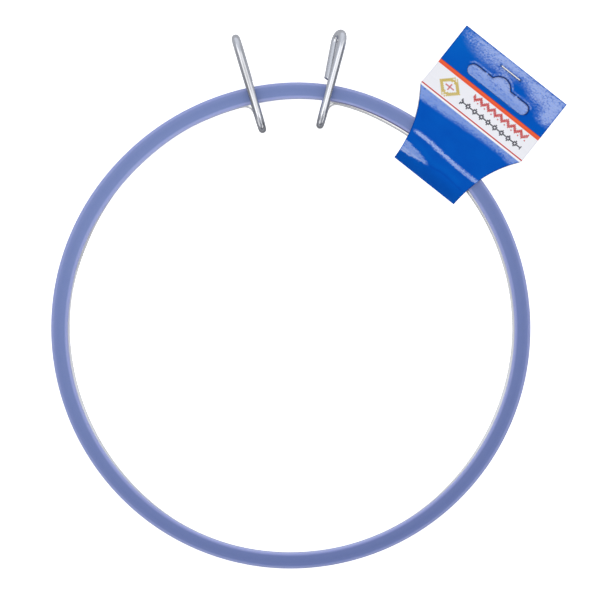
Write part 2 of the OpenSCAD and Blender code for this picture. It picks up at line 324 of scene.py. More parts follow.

    # darker along the cut edges, and a painted shadow round the staple's ends; the varnish is left off both
    width = M("ADD", 14.95, M("MULTIPLY", M("POWER", M("DIVIDE", M("MINIMUM", s, 29.4), 29.4), 2.1), 10.35))
    rim = M("MINIMUM", M("SUBTRACT", width, M("ABSOLUTE", x)), M("SUBTRACT", 58.8, s))
    rim = M("SUBTRACT", 1.0, step(rim, 0.28, 0.16))
    dx = M("SUBTRACT", M("ABSOLUTE", M("SUBTRACT", x, 0.2)), 4.85)
    ds = M("SUBTRACT", s, 54.8)
    staple_end_shade = M("SQRT", M("ADD", M("MULTIPLY", dx, dx), M("MULTIPLY", ds, ds)))
    staple_end_shade = M("SUBTRACT", 1.0, step(staple_end_shade, 0.55, 0.35))
    blue_part = M("MAXIMUM", M("SUBTRACT", 1.0, band(s, 28.6, 42.05)), M("LESS_THAN", front, 0.5))
    col = mix_col(nt, M("MULTIPLY", M("MULTIPLY", rim, blue_part), 0.7), col, (0.0, 0.035, 0.25))
    col = mix_col(nt, M("MULTIPLY", M("MULTIPLY", rim, M("SUBTRACT", 1.0, blue_part)), 0.35), col, (0.55, 0.55, 0.62))
    col = mix_col(nt, M("MULTIPLY", staple_end_shade, 0.85), col, (0.0, 0.02, 0.14))

    # the back panel is blue too, without the bands
    col = mix_col(nt, M("GREATER_THAN", front, 0.5), blue, col)
    # cut edges and the inner side show bare board
    outer = attr(nt, "tag_outer")
    slot_shade = attr(nt, "tag_slot_shade")
    board = mix_col(nt, noise(nt, 1500.0, 3.0), (0.66, 0.65, 0.62), (0.80, 0.79, 0.76))
    col = mix_col(nt, M("GREATER_THAN", outer, 0.5), board, col)
    streak = noise(nt, 1.7, 4.0, 0.75, vector=grain)
    wear_and_sheen = M("ADD", M("MULTIPLY", M("SUBTRACT", streak, 0.5), 5.0), M("MULTIPLY", M("SUBTRACT", patch, 0.5), 1.8))
    # fine mottle of the varnish, with ragged edges
    mottle = M("SUBTRACT", noise(nt, 1.5, 3.0, 0.7, vector=plane), 0.5)
    wear_and_sheen = M("ADD", M("ADD", 1.24, M("MULTIPLY", mottle, 2.2)), wear_and_sheen)
    shine = M("SUBTRACT", attr(nt, "tag_gloss"), 0.035, clamp=True)
    ragged = M("MULTIPLY", M("MULTIPLY", shine, M("SUBTRACT", 1.0, shine)), M("MULTIPLY", mottle, 9.0))
    shine = M("MULTIPLY", M("ADD", shine, ragged, clamp=True), M("GREATER_THAN", outer, 0.5))
    # painted sheen: where the varnish shines, the base colour is also painted a lighter blue
    painted_sheen = M("MULTIPLY", M("MULTIPLY", shine, wear_and_sheen, clamp=True), blue_part)
    col = mix_col(nt, M("MULTIPLY", M("MULTIPLY", painted_sheen, front), 0.62), col, (0.0, 0.19, 0.74))
    # painted shadow: the hang slot's cut and the card seen through it are painted dark, and so is a line along the
    # staple's crown
    shown = M("MAXIMUM", M("GREATER_THAN", front, 0.5), M("LESS_THAN", outer, 0.5))
    col = mix_col(nt, M("MULTIPLY", M("MULTIPLY", slot_shade, 1.05), shown, clamp=True), col, (0.0, 0.020, 0.15))
    staple_shade = M("MULTIPLY", band(s, 54.8 - 0.42, 54.8 + 0.42, 0.16), M("LESS_THAN", M("ABSOLUTE", M("SUBTRACT", x, 0.2)), 4.9))
    staple_shade = M("MULTIPLY", staple_shade, M("MULTIPLY", M("GREATER_THAN", front, 0.5), M("GREATER_THAN", outer, 0.5)))
    col = mix_col(nt, M("MULTIPLY", staple_shade, 0.75), col, (0.035, 0.022, 0.05))
    # painted shade of a soft, shallow crease across the neck, with a painted highlight above it
    path = nt.nodes.new("ShaderNodeFloatCurve")
    curve = path.mapping.curves[0]
    for k, (px, py) in enumerate([(0.0, 0.410), (0.19, 0.380), (0.43, 0.280), (0.61, 0.315), (0.81, 0.295), (1.0, 0.272)]):
        pt = curve.points[k] if k < 2 else curve.points.new(px, py)
        pt.location = (px, py)
    path.mapping.update()
    nt.links.new(M("DIVIDE", M("ADD", x, 16.0), 32.0), path.inputs["Value"])
    over = M("SUBTRACT", s, M("MULTIPLY", path.outputs[0], 20.0))
    on_neck = M("MULTIPLY", M("GREATER_THAN", front, 0.5), M("GREATER_THAN", outer, 0.5))
    crease = M("MULTIPLY", M("SUBTRACT", 1.0, step(M("ABSOLUTE", over), 0.35, 0.35)), band(x, -2.6, 14.4, 0.9))
    painted_light = M("MULTIPLY", band(over, 0.9, 2.5, 0.7), band(x, -11.0, 11.0, 3.0))
    col = mix_col(nt, M("MULTIPLY", M("MULTIPLY", painted_light, on_neck), 0.35), col, (0.0, 0.13, 0.56))
    col = mix_col(nt, M("MULTIPLY", M("MULTIPLY", crease, on_neck), 0.28), col, (0.0, 0.035, 0.33))
    nt.links.new(col, b.inputs["Base Color"])
    rr = M("ADD", 0.34, M("MULTIPLY", noise(nt, 420.0, 4.0, 0.6), 0.3))
    nt.links.new(rr, b.inputs["Roughness"])
    b.inputs["Specular IOR Level"].default_value = 0.03
    # the varnish is patchy: where the card is pressed flat it shines, in a fine mottle
    b.inputs["Coat Roughness"].default_value = 0.16
    b.inputs["Coat IOR"].default_value = 3.0
    # the back was rubbed less, and is evenly satin
    coat = M("MULTIPLY", shine, M("ADD", M("MULTIPLY", M("MULTIPLY", wear_and_sheen, front), 1.0), M("MULTIPLY", M("SUBTRACT", 1.0, front), 0.25)))
    dull = M("MAXIMUM", M("MAXIMUM", rim, staple_end_shade), M("MAXIMUM", slot_shade, staple_shade))
    coat = M("MULTIPLY", coat, M("SUBTRACT", 1.0, M("MULTIPLY", dull, 0.85)), clamp=True)
    keep = M("SUBTRACT", 1.0, M("MULTIPLY", M("SUBTRACT", 1.0, blue_part), 0.85))
    nt.links.new(M("MULTIPLY", coat, keep, clamp=True), b.inputs["Coat Weight"])
    h = M("ADD", M("MULTIPLY", noise(nt, 900.0, 3.0), 0.5), noise(nt, 110.0, 2.0))
    bump(nt, b, h, 0.00008, 0.5)
    return m


PLASTIC, STEEL, CARD = plastic_material(), steel_material(), card_material()
STAPLE = steel_material("staple_wire", 0.2, (0.93, 0.91, 0.87))


# ------------------------------------------------------------------ meshes
def mesh_object(name, verts, faces, mat, attrs=None, smooth_angle=35):
    me = bpy.data.meshes.new(name)
    me.from_pydata([tuple(float(c) for c in v) for v in verts], [], faces)
    me.validate()
    me.update()
    for k, vals in (attrs or {}).items():
        a = me.attributes.new(k, "FLOAT", "POINT")
        a.data.foreach_set("value", np.asarray(vals, dtype=np.float32))
    bm = bmesh.new()
    bm.from_mesh(me)
    bmesh.ops.recalc_face_normals(bm, faces=bm.faces)
    bm.to_mesh(me)
    bm.free()
    for p in me.polygons:
        p.use_smooth = True
    me.set_sharp_from_angle(angle=math.radians(smooth_angle))
    me.materials.append(mat)
    o = bpy.data.objects.new(name, me)
    bpy.context.scene.collection.objects.link(o)
    return o


def ring_section():
    """Closed outline of the ring's section: x from the outer wall (0) inwards (negative), z up."""
    r, q, fl = OUT_ROUND, LIP_ROUND, (RING_H - GROOVE_H) / 2
    pts = []

    def arc(cx, cz, rad, a0, a1, n):
        for i in range(n + 1):
            a = math.radians(a0 + (a1 - a0) * i / n)
            pts.append((cx + rad * math.cos(a), cz + rad * math.sin(a)))

    arc(-r, r, r, -90, 0, 8)
    arc(-r, RING_H - r, r, 0, 90, 8)
    for t in (0.25, 0.5, 0.75):
        pts.append((-r + (-RING_W + q + r) * t, RING_H))
    arc(-RING_W + q, RING_H - q, q, 90, 180, 6)
    k = 0.18
    pts += [(-RING_W, RING_H - fl + k), (-RING_W + k, RING_H - fl)]
    pts += [(-RING_W + GROOVE_D - 0.3, RING_H - fl), (-RING_W + GROOVE_D, RING_H - fl - 0.3)]
    pts += [(-RING_W + GROOVE_D, fl + 0.3), (-RING_W + GROOVE_D - 0.3, fl)]
    low = -RING_W + 0.32
    pts += [(low + k, fl), (low, fl - k)]
    arc(low + q, q, q, 180, 270, 6)
    for t in (0.75, 0.5, 0.25):
        pts.append((-r + (-RING_W + q + r) * t, 0))
    return pts


def outline(a):
    """Point and outward normal of the ring's outer wall at the normal angle a from the bottom."""
    crown_r = (RING_R * math.sin(math.radians(SHOULDER)) + SHOULDER_R * (math.sin(math.radians(CROWN)) - math.sin(math.radians(SHOULDER)))) / math.sin(math.radians(CROWN))
    sc = (RING_R - SHOULDER_R) * n2(SHOULDER)
    cc = sc + (SHOULDER_R - crown_r) * n2(CROWN)
    f = a % 360
    side = 1
    if f > 180:
        f, side = 360 - f, -1
    if f <= SHOULDER:
        c, rad = np.array([0.0, 0.0]), RING_R
    elif f <= CROWN:
        c, rad = sc, SHOULDER_R
    else:
        c, rad = cc, crown_r
    n = n2(f)
    p = c + rad * n
    p, n = np.array([side * p[0], p[1]]), np.array([side * n[0], n[1]])
    t = math.radians(-TILT)
    rot = np.array([[math.cos(t), -math.sin(t)], [math.sin(t), math.cos(t)]])
    return rot @ p, rot @ n


def build_ring():
    sec = ring_section()
    count, m = 540, len(sec)
    verts, faces, across, ang, painted_light, edge = [], [], [], [], [], []
    # the moulding is a little wider beside the left handle, where the spring's end has pressed on it;
    # angles are clockwise from the top, as seen from above
    turn = (191 - 360 * np.arange(count) / count) % 360
    lip = np.interp(turn, [0, 10, 15, 20, 26, 32, 45, 60, 66, 72, 80, 90, 120, 135, 150, 165, 180, 195, 205, 215, 225,
                           240, 265, 280, 290, 300, 310, 320, 330, 338, 346, 355, 360],
                    [0.10, -0.05, -0.15, 0.16, 0.25, 0.27, 0.3, 0.38, 0.25, 0.1, 0.02, -0.1, 0, 0.08, 0, -0.1, -0.1, -0.22, -0.1, 0.08, 0.3,
                     0.32, 0.23, 0.4, 0.2, 0.6, 0.82, 0.85, 0.5, 0.6, 0.4, 0.15, 0.10])
    # painted shadow: where round the ring the dark line at the lip's edge is painted
    seam_and_gap_shade = np.interp(turn, [7, 13, 18, 24, 36, 48, 57], [0, 0.8, 0.9, 1.0, 1.0, 0.7, 0])
    rim = np.interp(turn, [0, 90, 145, 168, 210, 240, 255, 285, 300, 315, 345, 360], [0, 0, 0.08, -0.03, 0, -0.15, -0.15, 0.1, 0.15, 0, 0.02, 0])
    for _ in range(40):
        lip = lip * 0.5 + (np.roll(lip, 1) + np.roll(lip, -1)) * 0.25
        rim = rim * 0.5 + (np.roll(rim, 1) + np.roll(rim, -1)) * 0.25
    for i in range(count):
        a = 360 * i / count
        p, n = outline(a)
        for x, z in sec:
            inner, outer = min(1.0, max(0.0, (-x - 3.0) / (RING_W - 3.0))), 1 - min(1.0, -x / 2.4)
            q = p + n * (x - lip[i] * inner + rim[i] * outer)
            verts.append((q[0] * MM, q[1] * MM, z * MM))
            across.append(-x / RING_W)
            ang.append(a)
            edge.append(float(seam_and_gap_shade[i]))
            # painted light: high on the side taken as lit, low on the side painted darker
            painted_light.append(0.5 + 0.5 * math.cos(math.radians(a - 216)))
    for i in range(count):
        j = (i + 1) % count
        for k in range(m):
            l = (k + 1) % m
            faces.append((i * m + k, j * m + k, j * m + l, i * m + l))
    return mesh_object("plastic_ring", verts, faces, PLASTIC, {"across": across, "ang": ang, "painted_light": painted_light, "seam_and_gap_shade": edge}, 40)


# ---- wire path
def arc_centre(side, i):
    c = np.array([0.0, -BOTTOM + BENDS[side][0]])
    for k in range(1, i + 1):
        c = c + (BENDS[side][k - 1] - BENDS[side][k]) * n2(FLEX[k])
    return c


def on_wire(side, a):
    i = max(k for k, f in enumerate(FLEX) if f <= a + 1e-9)
    # the bent wire lies a hair off its arcs, as its small kinks need
    if side == "right":
        off = np.interp(a, [0, 15, 45, 60, 90, 110, 122, 135, 150, 154, 160, 164, 170], [0, 0.10, 0.14, 0.16, 0.05, 0.10, 0.12, 0.28, 0.38, 0.28, 0.06, 0, 0])
    else:
        off = np.interp(a, [0, 30, 45, 60, 80, 100, 112, 130, 140, 150, 158, 163, 168], [0, 0.08, 0.26, 0.14, 0.20, 0.0, 0.32, 0.08, 0.20, 0.22, 0.45, 0.46, 0.45])
    return arc_centre(side, i) + (BENDS[side][i] - off) * n2(a)


def run_points(side, a0, a1, step=0.75):
    n = max(2, int(round((a1 - a0) / step)))
    out = []
    for k in range(n + 1):
        a = a0 + (a1 - a0) * k / n
        p = on_wire(side, a)
        out.append(np.array([p[0], p[1], MID_Z]))
    return out


def handle_points(side):
    """Path of a handle from the end of its run in the groove to its cut end (right-hand version)."""
    s, h = on_wire(side, RUN_END[side]), RUN_END[side]
    tip, end = np.array(TIP[side], float), np.array(END[side], float)
    d = (end - tip) / np.linalg.norm(end - tip)
    w = tip - s
    ch, sh = math.cos(math.radians(h)), math.sin(math.radians(h))
    leg = (w[0] * d[1] - w[1] * d[0]) / (ch * d[1] - sh * d[0])
    inner = math.degrees(math.atan2(-d[1], -d[0])) + 360 - h
    r1 = leg / math.tan(math.radians(inner / 2))
    corner = s + leg * np.array([ch, sh])
    # next to the front strand both bends open out, over the last EASE degrees, to a wide curve
    ce, se = math.cos(math.radians(EASE)), math.sin(math.radians(EASE))
    drop, reach = EASE_R * (1 - ce), EASE_R * se
    tip_r = (FRONT_Z - MID_Z - drop) / (1 + ce)
    eye_r = (EYE_R * (1 - math.cos(math.radians(EYE_TURN))) - drop) / (ce - math.cos(math.radians(EYE_TURN)))
    strand = np.linalg.norm(end - tip) - (tip_r + reach - tip_r * se) - (reach + eye_r * (1 - se))
    moves = [("bend", r1, inner, 90), ("run", np.linalg.norm(tip - corner) - leg - tip_r), ("bend", tip_r, 180 - EASE, 90),
             ("bend", EASE_R, EASE, 0), ("run", strand), ("bend", EASE_R, EASE, LEAN[side]),
             ("bend", eye_r, EYE_TURN - EASE, 0), ("run", REAR[side])]
    # frame: origin at the run's end; columns are the local x, y, z axes; the wire heads along z
    p = np.array([s[0], s[1], MID_Z])
    z = np.array([ch, sh, 0.0])
    x = np.array([0.0, 0.0, -1.0])
    y = np.cross(z, x)
    pts = []
    for mv in moves:
        if mv[0] == "run":
            n = max(2, int(mv[1] / 1.0))
            for k in range(1, n + 1):
                pts.append(p + z * mv[1] * k / n)
            p = p + z * mv[1]
        else:
            _, r, a, roll = mv
            c, t = math.cos(math.radians(roll)), math.sin(math.radians(roll))
            x, y = x * c + y * t, y * c - x * t
            n = max(8, int(a / 7))
            centre = p + x * r
            for k in range(1, n + 1):
                b = math.radians(a * k / n)
                pts.append(centre - x * r * math.cos(b) + z * r * math.sin(b))
            b = math.radians(a)
            p = pts[-1]
            z, x = z * math.cos(b) + x * math.sin(b), x * math.cos(b) - z * math.sin(b)
    return pts


def soft(v, lo, hi):
    t = np.clip((v - lo) / (hi - lo), 0, 1)
    return t * t * (3 - 2 * t)


def resample(pts, step):
    pts = np.array(pts)
    seg = np.linalg.norm(np.diff(pts, axis=0), axis=1)
    s = np.concatenate([[0], np.cumsum(seg)])
    n = max(3, int(round(s[-1] / step)))
    t = np.linspace(0, s[-1], n + 1)
    return np.stack([np.interp(t, s, pts[:, k]) for k in range(3)], axis=1), t


def tube(name, pts, mirror, along0, start_dir=None, end_dir=None, cut=False, ring_n=32, normal0=(0, 0, 1), polish=None, worn=0.0):
    """Round wire along pts, closed at both ends. cut: the last end is a sheared end, its rim and face painted dark as
    painted shade.
    """
    pts = np.array(pts, float)
    if mirror < 0:
        pts = pts * np.array([-1, 1, 1])
    n = len(pts)
    tang = np.gradient(pts, axis=0)
    tang /= np.linalg.norm(tang, axis=1)[:, None]
    if start_dir is not None:
        tang[0] = start_dir
    if end_dir is not None:
        tang[-1] = end_dir
    u = np.array(normal0, float)
    verts, faces, along, rnd, pol = [], [], [], [], []
    seg = np.concatenate([[0], np.cumsum(np.linalg.norm(np.diff(pts, axis=0), axis=1))])
    # the bend at a handle's tip necks the wire a little
    tip = seg[np.where(pts[:, 2] > MID_Z + 1, pts[:, 1], 999.0).argmin()] if cut else -99.0
    # painted reflection: the nose of the tip bend, where the wire turns down, is painted darker for the dark floor it
    # reflects
    nose = np.array([-mirror * 0.24, -0.97, 0.0])
    neck = lambda s: 1 - 0.08 * math.exp(-((s - tip) / 2.6) ** 2)
    painted_dark_mask, satin_and_painted_sheen = [], []

    def add_ring(p, t, u, rad, s, slant=0.0, skew=0.0, raw=0.0):
        v = np.cross(t, u)
        # painted reflection: a grey line along the wire's inner side, mostly beside the handles, for the dark
        # surroundings it reflects
        around = math.degrees(math.atan2(p[0], p[1])) % 360
        streak = np.interp(around, [0, 20, 30, 48, 60, 67, 76, 120, 140, 225, 240, 255, 265, 284, 292, 360],
                           [0.34, 0.32, 0.30, 0.38, 0.48, 0.18, 0, 0, 0.08, 0.12, 0.14, 0.04, 0, 0, 0.24, 0.34])
        # how strong the satin and painted sheen of the groove wire are, by its place round the ring
        painted_sheen = np.interp(around, [0, 52, 70, 115, 150, 235, 255, 282, 296, 360], [0.18, 0.18, 0.55, 0.55, 0.2, 0.2, 0.55, 0.55, 0.18, 0.18])
        for k in range(ring_n):
            a = 2 * math.pi * k / ring_n
            out = u * math.cos(a) + v * math.sin(a)
            q = p + rad * out + t * (slant * math.cos(a) + skew * mirror * out[0]) * rad
            near, level = float(out @ nose), math.hypot(out[0], out[1])
            inner = -(out[0] * p[0] + out[1] * p[1]) / math.hypot(p[0], p[1]) if abs(p[2] - MID_Z) < 0.3 and t[2] ** 2 < 0.01 and math.hypot(p[0], p[1]) > 84 else 0.0
            painted_dark_mask.append(max(raw, soft(near, 0.05, 0.35) * soft(level, 0.70, 0.86) * soft(7 - abs(s - tip), 0, 2), streak * soft(inner, 0.80, 0.93)))
            verts.append(q * MM)
            satin_and_painted_sheen.append(float(painted_sheen))
            along.append(along0 + s)
            rnd.append((math.cos(a), math.sin(a)))
            pol.append(0.0 if polish is None else min(1.0, max(0.0, (s - polish[0]) / (polish[1] - polish[0]))))

    for i in range(n):
        t = tang[i]
        u = u - t * np.dot(u, t)
        u /= np.linalg.norm(u)
        if cut and i >= n - 1:
            # sheared across at a slant; the cut face and its rim are painted dark, a painted shade
            add_ring(pts[i] - t * 0.25, t, u, WR, seg[i] - 0.25, 0.04, 0.26)
            add_ring(pts[i] - t * 0.08, t, u, WR - 0.07, seg[i] - 0.08, 0.06, 0.30, 1.0)
            add_ring(pts[i], t, u, WR - 0.3, seg[i], 0.06, 0.30, 1.4)
            add_ring(pts[i] + t * 0.0, t, u, WR - 0.9, seg[i], 0.02, 0.30, 1.4)
        else:
            add_ring(pts[i], t, u, WR * neck(seg[i]), seg[i])
    rings = len(verts) // ring_n
    for i in range(rings - 1):
        for k in range(ring_n):
            l = (k + 1) % ring_n
            faces.append((i * ring_n + k, i * ring_n + l, (i + 1) * ring_n + l, (i + 1) * ring_n + k))
    faces.append(tuple(range(ring_n - 1, -1, -1)))
    faces.append(tuple((rings - 1) * ring_n + k for k in range(ring_n)))
    return mesh_object(name, verts, faces, STEEL, {"along": along, "round_c": [q[0] for q in rnd], "round_s": [q[1] for q in rnd],
                                                   "polish": pol, "painted_dark": painted_dark_mask, "satin_and_painted_sheen": satin_and_painted_sheen,
                                                   "worn": [worn * min(1.0, max(0.0, (along0 + seg[-1] - REAR["left"] - 7 - a) / 6)) for a in along]}, 50)


LINKS = ["lower", "low_side", "side", "high_side", "upper"]


def heading(side, a):
    return np.array([SIDE[side] * math.cos(math.radians(a)), math.sin(math.radians(a)), 0.0])


def build_wire():
    made = []
    for side in ("right", "left"):
        stops = FLEX[1:] + [RUN_END[side]]
        mids = [0.0] + [(stops[i] + stops[i + 1]) / 2 for i in range(5)]
        nodes = ["spring_bottom"] + ["spring_%s_%s" % (side, l) for l in LINKS]
        s0 = 0.0
        for i in range(5):
            a0, a1, hinge = mids[i], mids[i + 1], FLEX[i + 1]
            pts = run_points(side, a0, a1)
            o = tube("spring_wire_%s_%d" % (side, i + 1), pts, SIDE[side], s0,
                     heading(side, a0), heading(side, a1))
            s0 += sum(np.linalg.norm(np.diff(np.array(pts), axis=0), axis=1))
            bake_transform(o)
            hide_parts(nodes[i], nodes[i + 1])
            made.append(o)
        run = run_points(side, mids[5], RUN_END[side])
        reach = sum(np.linalg.norm(np.diff(np.array(run), axis=0), axis=1))
        pts, _ = resample(run + handle_points(side), 0.55)
        # bends made over a former ease in and out a little
        for _ in range(3):
            pts[1:-1] = pts[1:-1] * 0.5 + (pts[:-2] + pts[2:]) * 0.25
        o = tube("hairpin_handle_%s" % side, pts, SIDE[side], s0, heading(side, mids[5]), None, cut=True, polish=(reach + 5, reach + 9), worn=1.0 if side == "left" else 0.0)
        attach(o, side + "_arm")
        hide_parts("spring_%s_upper" % side, side + "_handle")
        made.append(o)
    return made


# ---- card tag
TAG = dict(rise_end=5.9, over_end=18.9, flat_from=50.0, crease_z=3.2, t=0.4, length=58.8, w=50.6, crease_w=29.9, at=78.8, turn=38.45, off=5.1, corner=29.4)
OVER_Z = RING_H + 0.35 + 0.2
UNDER_Z = -0.05 - 0.2
BACK_Z, FRONT_SHUT = 0.2, 0.7
MID_B, SLOT_S, STAPLE_S, STAPLE_LEG = 0.2, 46.5, 54.8, 4.67
KERF = 0.06


def front_z_at(s):
    g = TAG
    if s < g["rise_end"]:
        return g["crease_z"] + (OVER_Z - g["crease_z"]) * math.sin(math.pi / 2 * s / g["rise_end"])
    if s < g["over_end"]:
        return OVER_Z + 0.45 * math.sin(math.pi * (s - g["rise_end"]) / (g["over_end"] - g["rise_end"]))
    if s < g["flat_from"]:
        return FRONT_SHUT + (OVER_Z - FRONT_SHUT) * (1 + math.cos(math.pi * (s - g["over_end"]) / (g["flat_from"] - g["over_end"]))) / 2
    return FRONT_SHUT


def back_z_at(s):
    g = TAG
    if s < g["rise_end"]:
        return g["crease_z"] + (UNDER_Z - g["crease_z"]) * math.sin(math.pi / 2 * s / g["rise_end"])
    if s < g["over_end"]:
        return UNDER_Z
    if s < g["flat_from"]:
        return UNDER_Z + (BACK_Z - UNDER_Z) * (s - g["over_end"]) / (g["flat_from"] - g["over_end"])
    return BACK_Z


def half_width(s):
    g = TAG
    if s >= g["corner"]:
        return g["w"] / 2
    return g["crease_w"] / 2 + (g["w"] - g["crease_w"]) / 2 * (s / g["corner"]) ** 2.1


def to_world(b, s, z):
    """b across the tag, s from the crease to the top edge."""
    t = math.radians(-TAG["turn"])
    x, y = TAG["off"] + b, TAG["at"] + s
    return np.array([x * math.cos(t) - y * math.sin(t), x * math.sin(t) + y * math.cos(t), z])


def slot_line():
    """Closed outline of the hang slot, a bar with round ends and a bump towards the staple, anticlockwise from the bar's lower right."""
    pts = []
    r, hl, br, bs = 2.45, 12.4, 4.65, 0.6
    a0 = math.asin((r - bs) / br)
    for i in range(25):
        a = math.radians(-90 + 180 * i / 24)
        pts.append((hl + r * math.cos(a), r * math.sin(a)))
    x1 = br * math.cos(a0)
    for i in range(1, 28):
        pts.append((hl + (x1 - hl) * i / 28, r))
    for i in range(41):
        a = a0 + (math.pi - 2 * a0) * i / 40
        pts.append((br * math.cos(a), bs + br * math.sin(a)))
    for i in range(1, 28):
        pts.append((-x1 + (x1 - hl) * i / 28, r))
    for i in range(25):
        a = math.radians(90 + 180 * i / 24)
        pts.append((-hl + r * math.cos(a), r * math.sin(a)))
    for i in range(1, 84):
        pts.append((-hl + 2 * hl * i / 84, -r))
    p = np.array(pts) + np.array([MID_B, SLOT_S])
    for _ in range(3):          # the die's inner corners are a little round
        p = p * 0.5 + (np.roll(p, 1, 0) + np.roll(p, -1, 0)) * 0.25
    return p


def inside(poly, q):
    """Which of the points q lie in the closed polygon."""
    x, y = q[:, 0], q[:, 1]
    hit = np.zeros(len(q), bool)
    a, b = poly, np.roll(poly, -1, 0)
    for (x0, y0), (x1, y1) in zip(a, b):
        if y0 == y1:
            continue
        cross = ((y0 > y) != (y1 > y)) & (x < (x1 - x0) * (y - y0) / (y1 - y0) + x0)
        hit ^= cross
    return hit


def line_distance(poly, q):
    a, b = poly, np.roll(poly, -1, 0)
    d = np.full(len(q), 1e9)
    for p0, p1 in zip(a, b):
        e = p1 - p0
        t = np.clip(((q - p0) @ e) / max(e @ e, 1e-12), 0, 1)
        d = np.minimum(d, np.linalg.norm(q - p0 - t[:, None] * e, axis=1))
    return d


def gloss_at(b, s, flap):
    """How much of the varnish shines, 0 to 1: smooth patches where the card lies flat or was pressed."""
    def spot(cb, cs, wb, ws, top):
        return top * np.exp(-((b - cb) / wb) ** 2 - ((s - cs) / ws) ** 2)
    g = spot(-9, 57.3, 8, 1.9, 0.75) + spot(3, 57.6, 8, 2.0, 0.80) + spot(14.5, 55.6, 5.5, 3.6, 0.9) + spot(22.5, 51.5, 3.6, 5.0, 0.95)
    g = g + spot(-10.5, 54.0, 8, 2.6, 0.42) + spot(-1, 53.6, 5, 1.6, 0.30) + spot(-19, 57.0, 6, 2.2, 0.34) + spot(22.5, 57.0, 4, 3.0, 0.55)
    g = np.minimum(g, 0.95) * (1 - 0.8 * np.exp(-((b - 7.5) / 4.2) ** 2 - ((s - 51.3) / 1.6) ** 2))
    g = g * soft(s, 44.5, 47.5)
    low = np.interp(b, [-23, -9.4, 3.5, 13, 17, 20.5], [23.1, 23.6, 24.4, 24.9, 24.9, 24.3])
    wide = np.interp(b, [-23, -14, 0, 25], [1.3, 2.6, 3.9, 4.0])
    band = 0.96 * soft(s, low, low + wide) * (s < 34)
    mid = np.interp(b, [-14, -11, -7, -4, -1, 3, 7, 12], [12.75, 12.88, 12.88, 12.52, 12.15, 12.10, 11.86, 11.75])
    streak = 0.92 * (1 - soft(np.abs(s - mid), 0.33, 0.98)) * soft(b, -16.2, -13.2)
    top = np.interp(b, [-14.5, -10, -8.5, -2.5], [7.95, 7.15, 7.12, 5.60])
    bot = np.interp(b, [-14.5, -11, -2.5], [3.45, 3.80, 5.32])
    wedge = 1.0 * soft(top - s, -0.2, 0.35) * soft(s - bot, -0.2, 0.35) * (1 - soft(b, -3.5, -2.1))
    return np.where(flap > 0.5, 0.86, np.clip(g + band * (flap < 0.5) + streak + wedge, 0, 1))


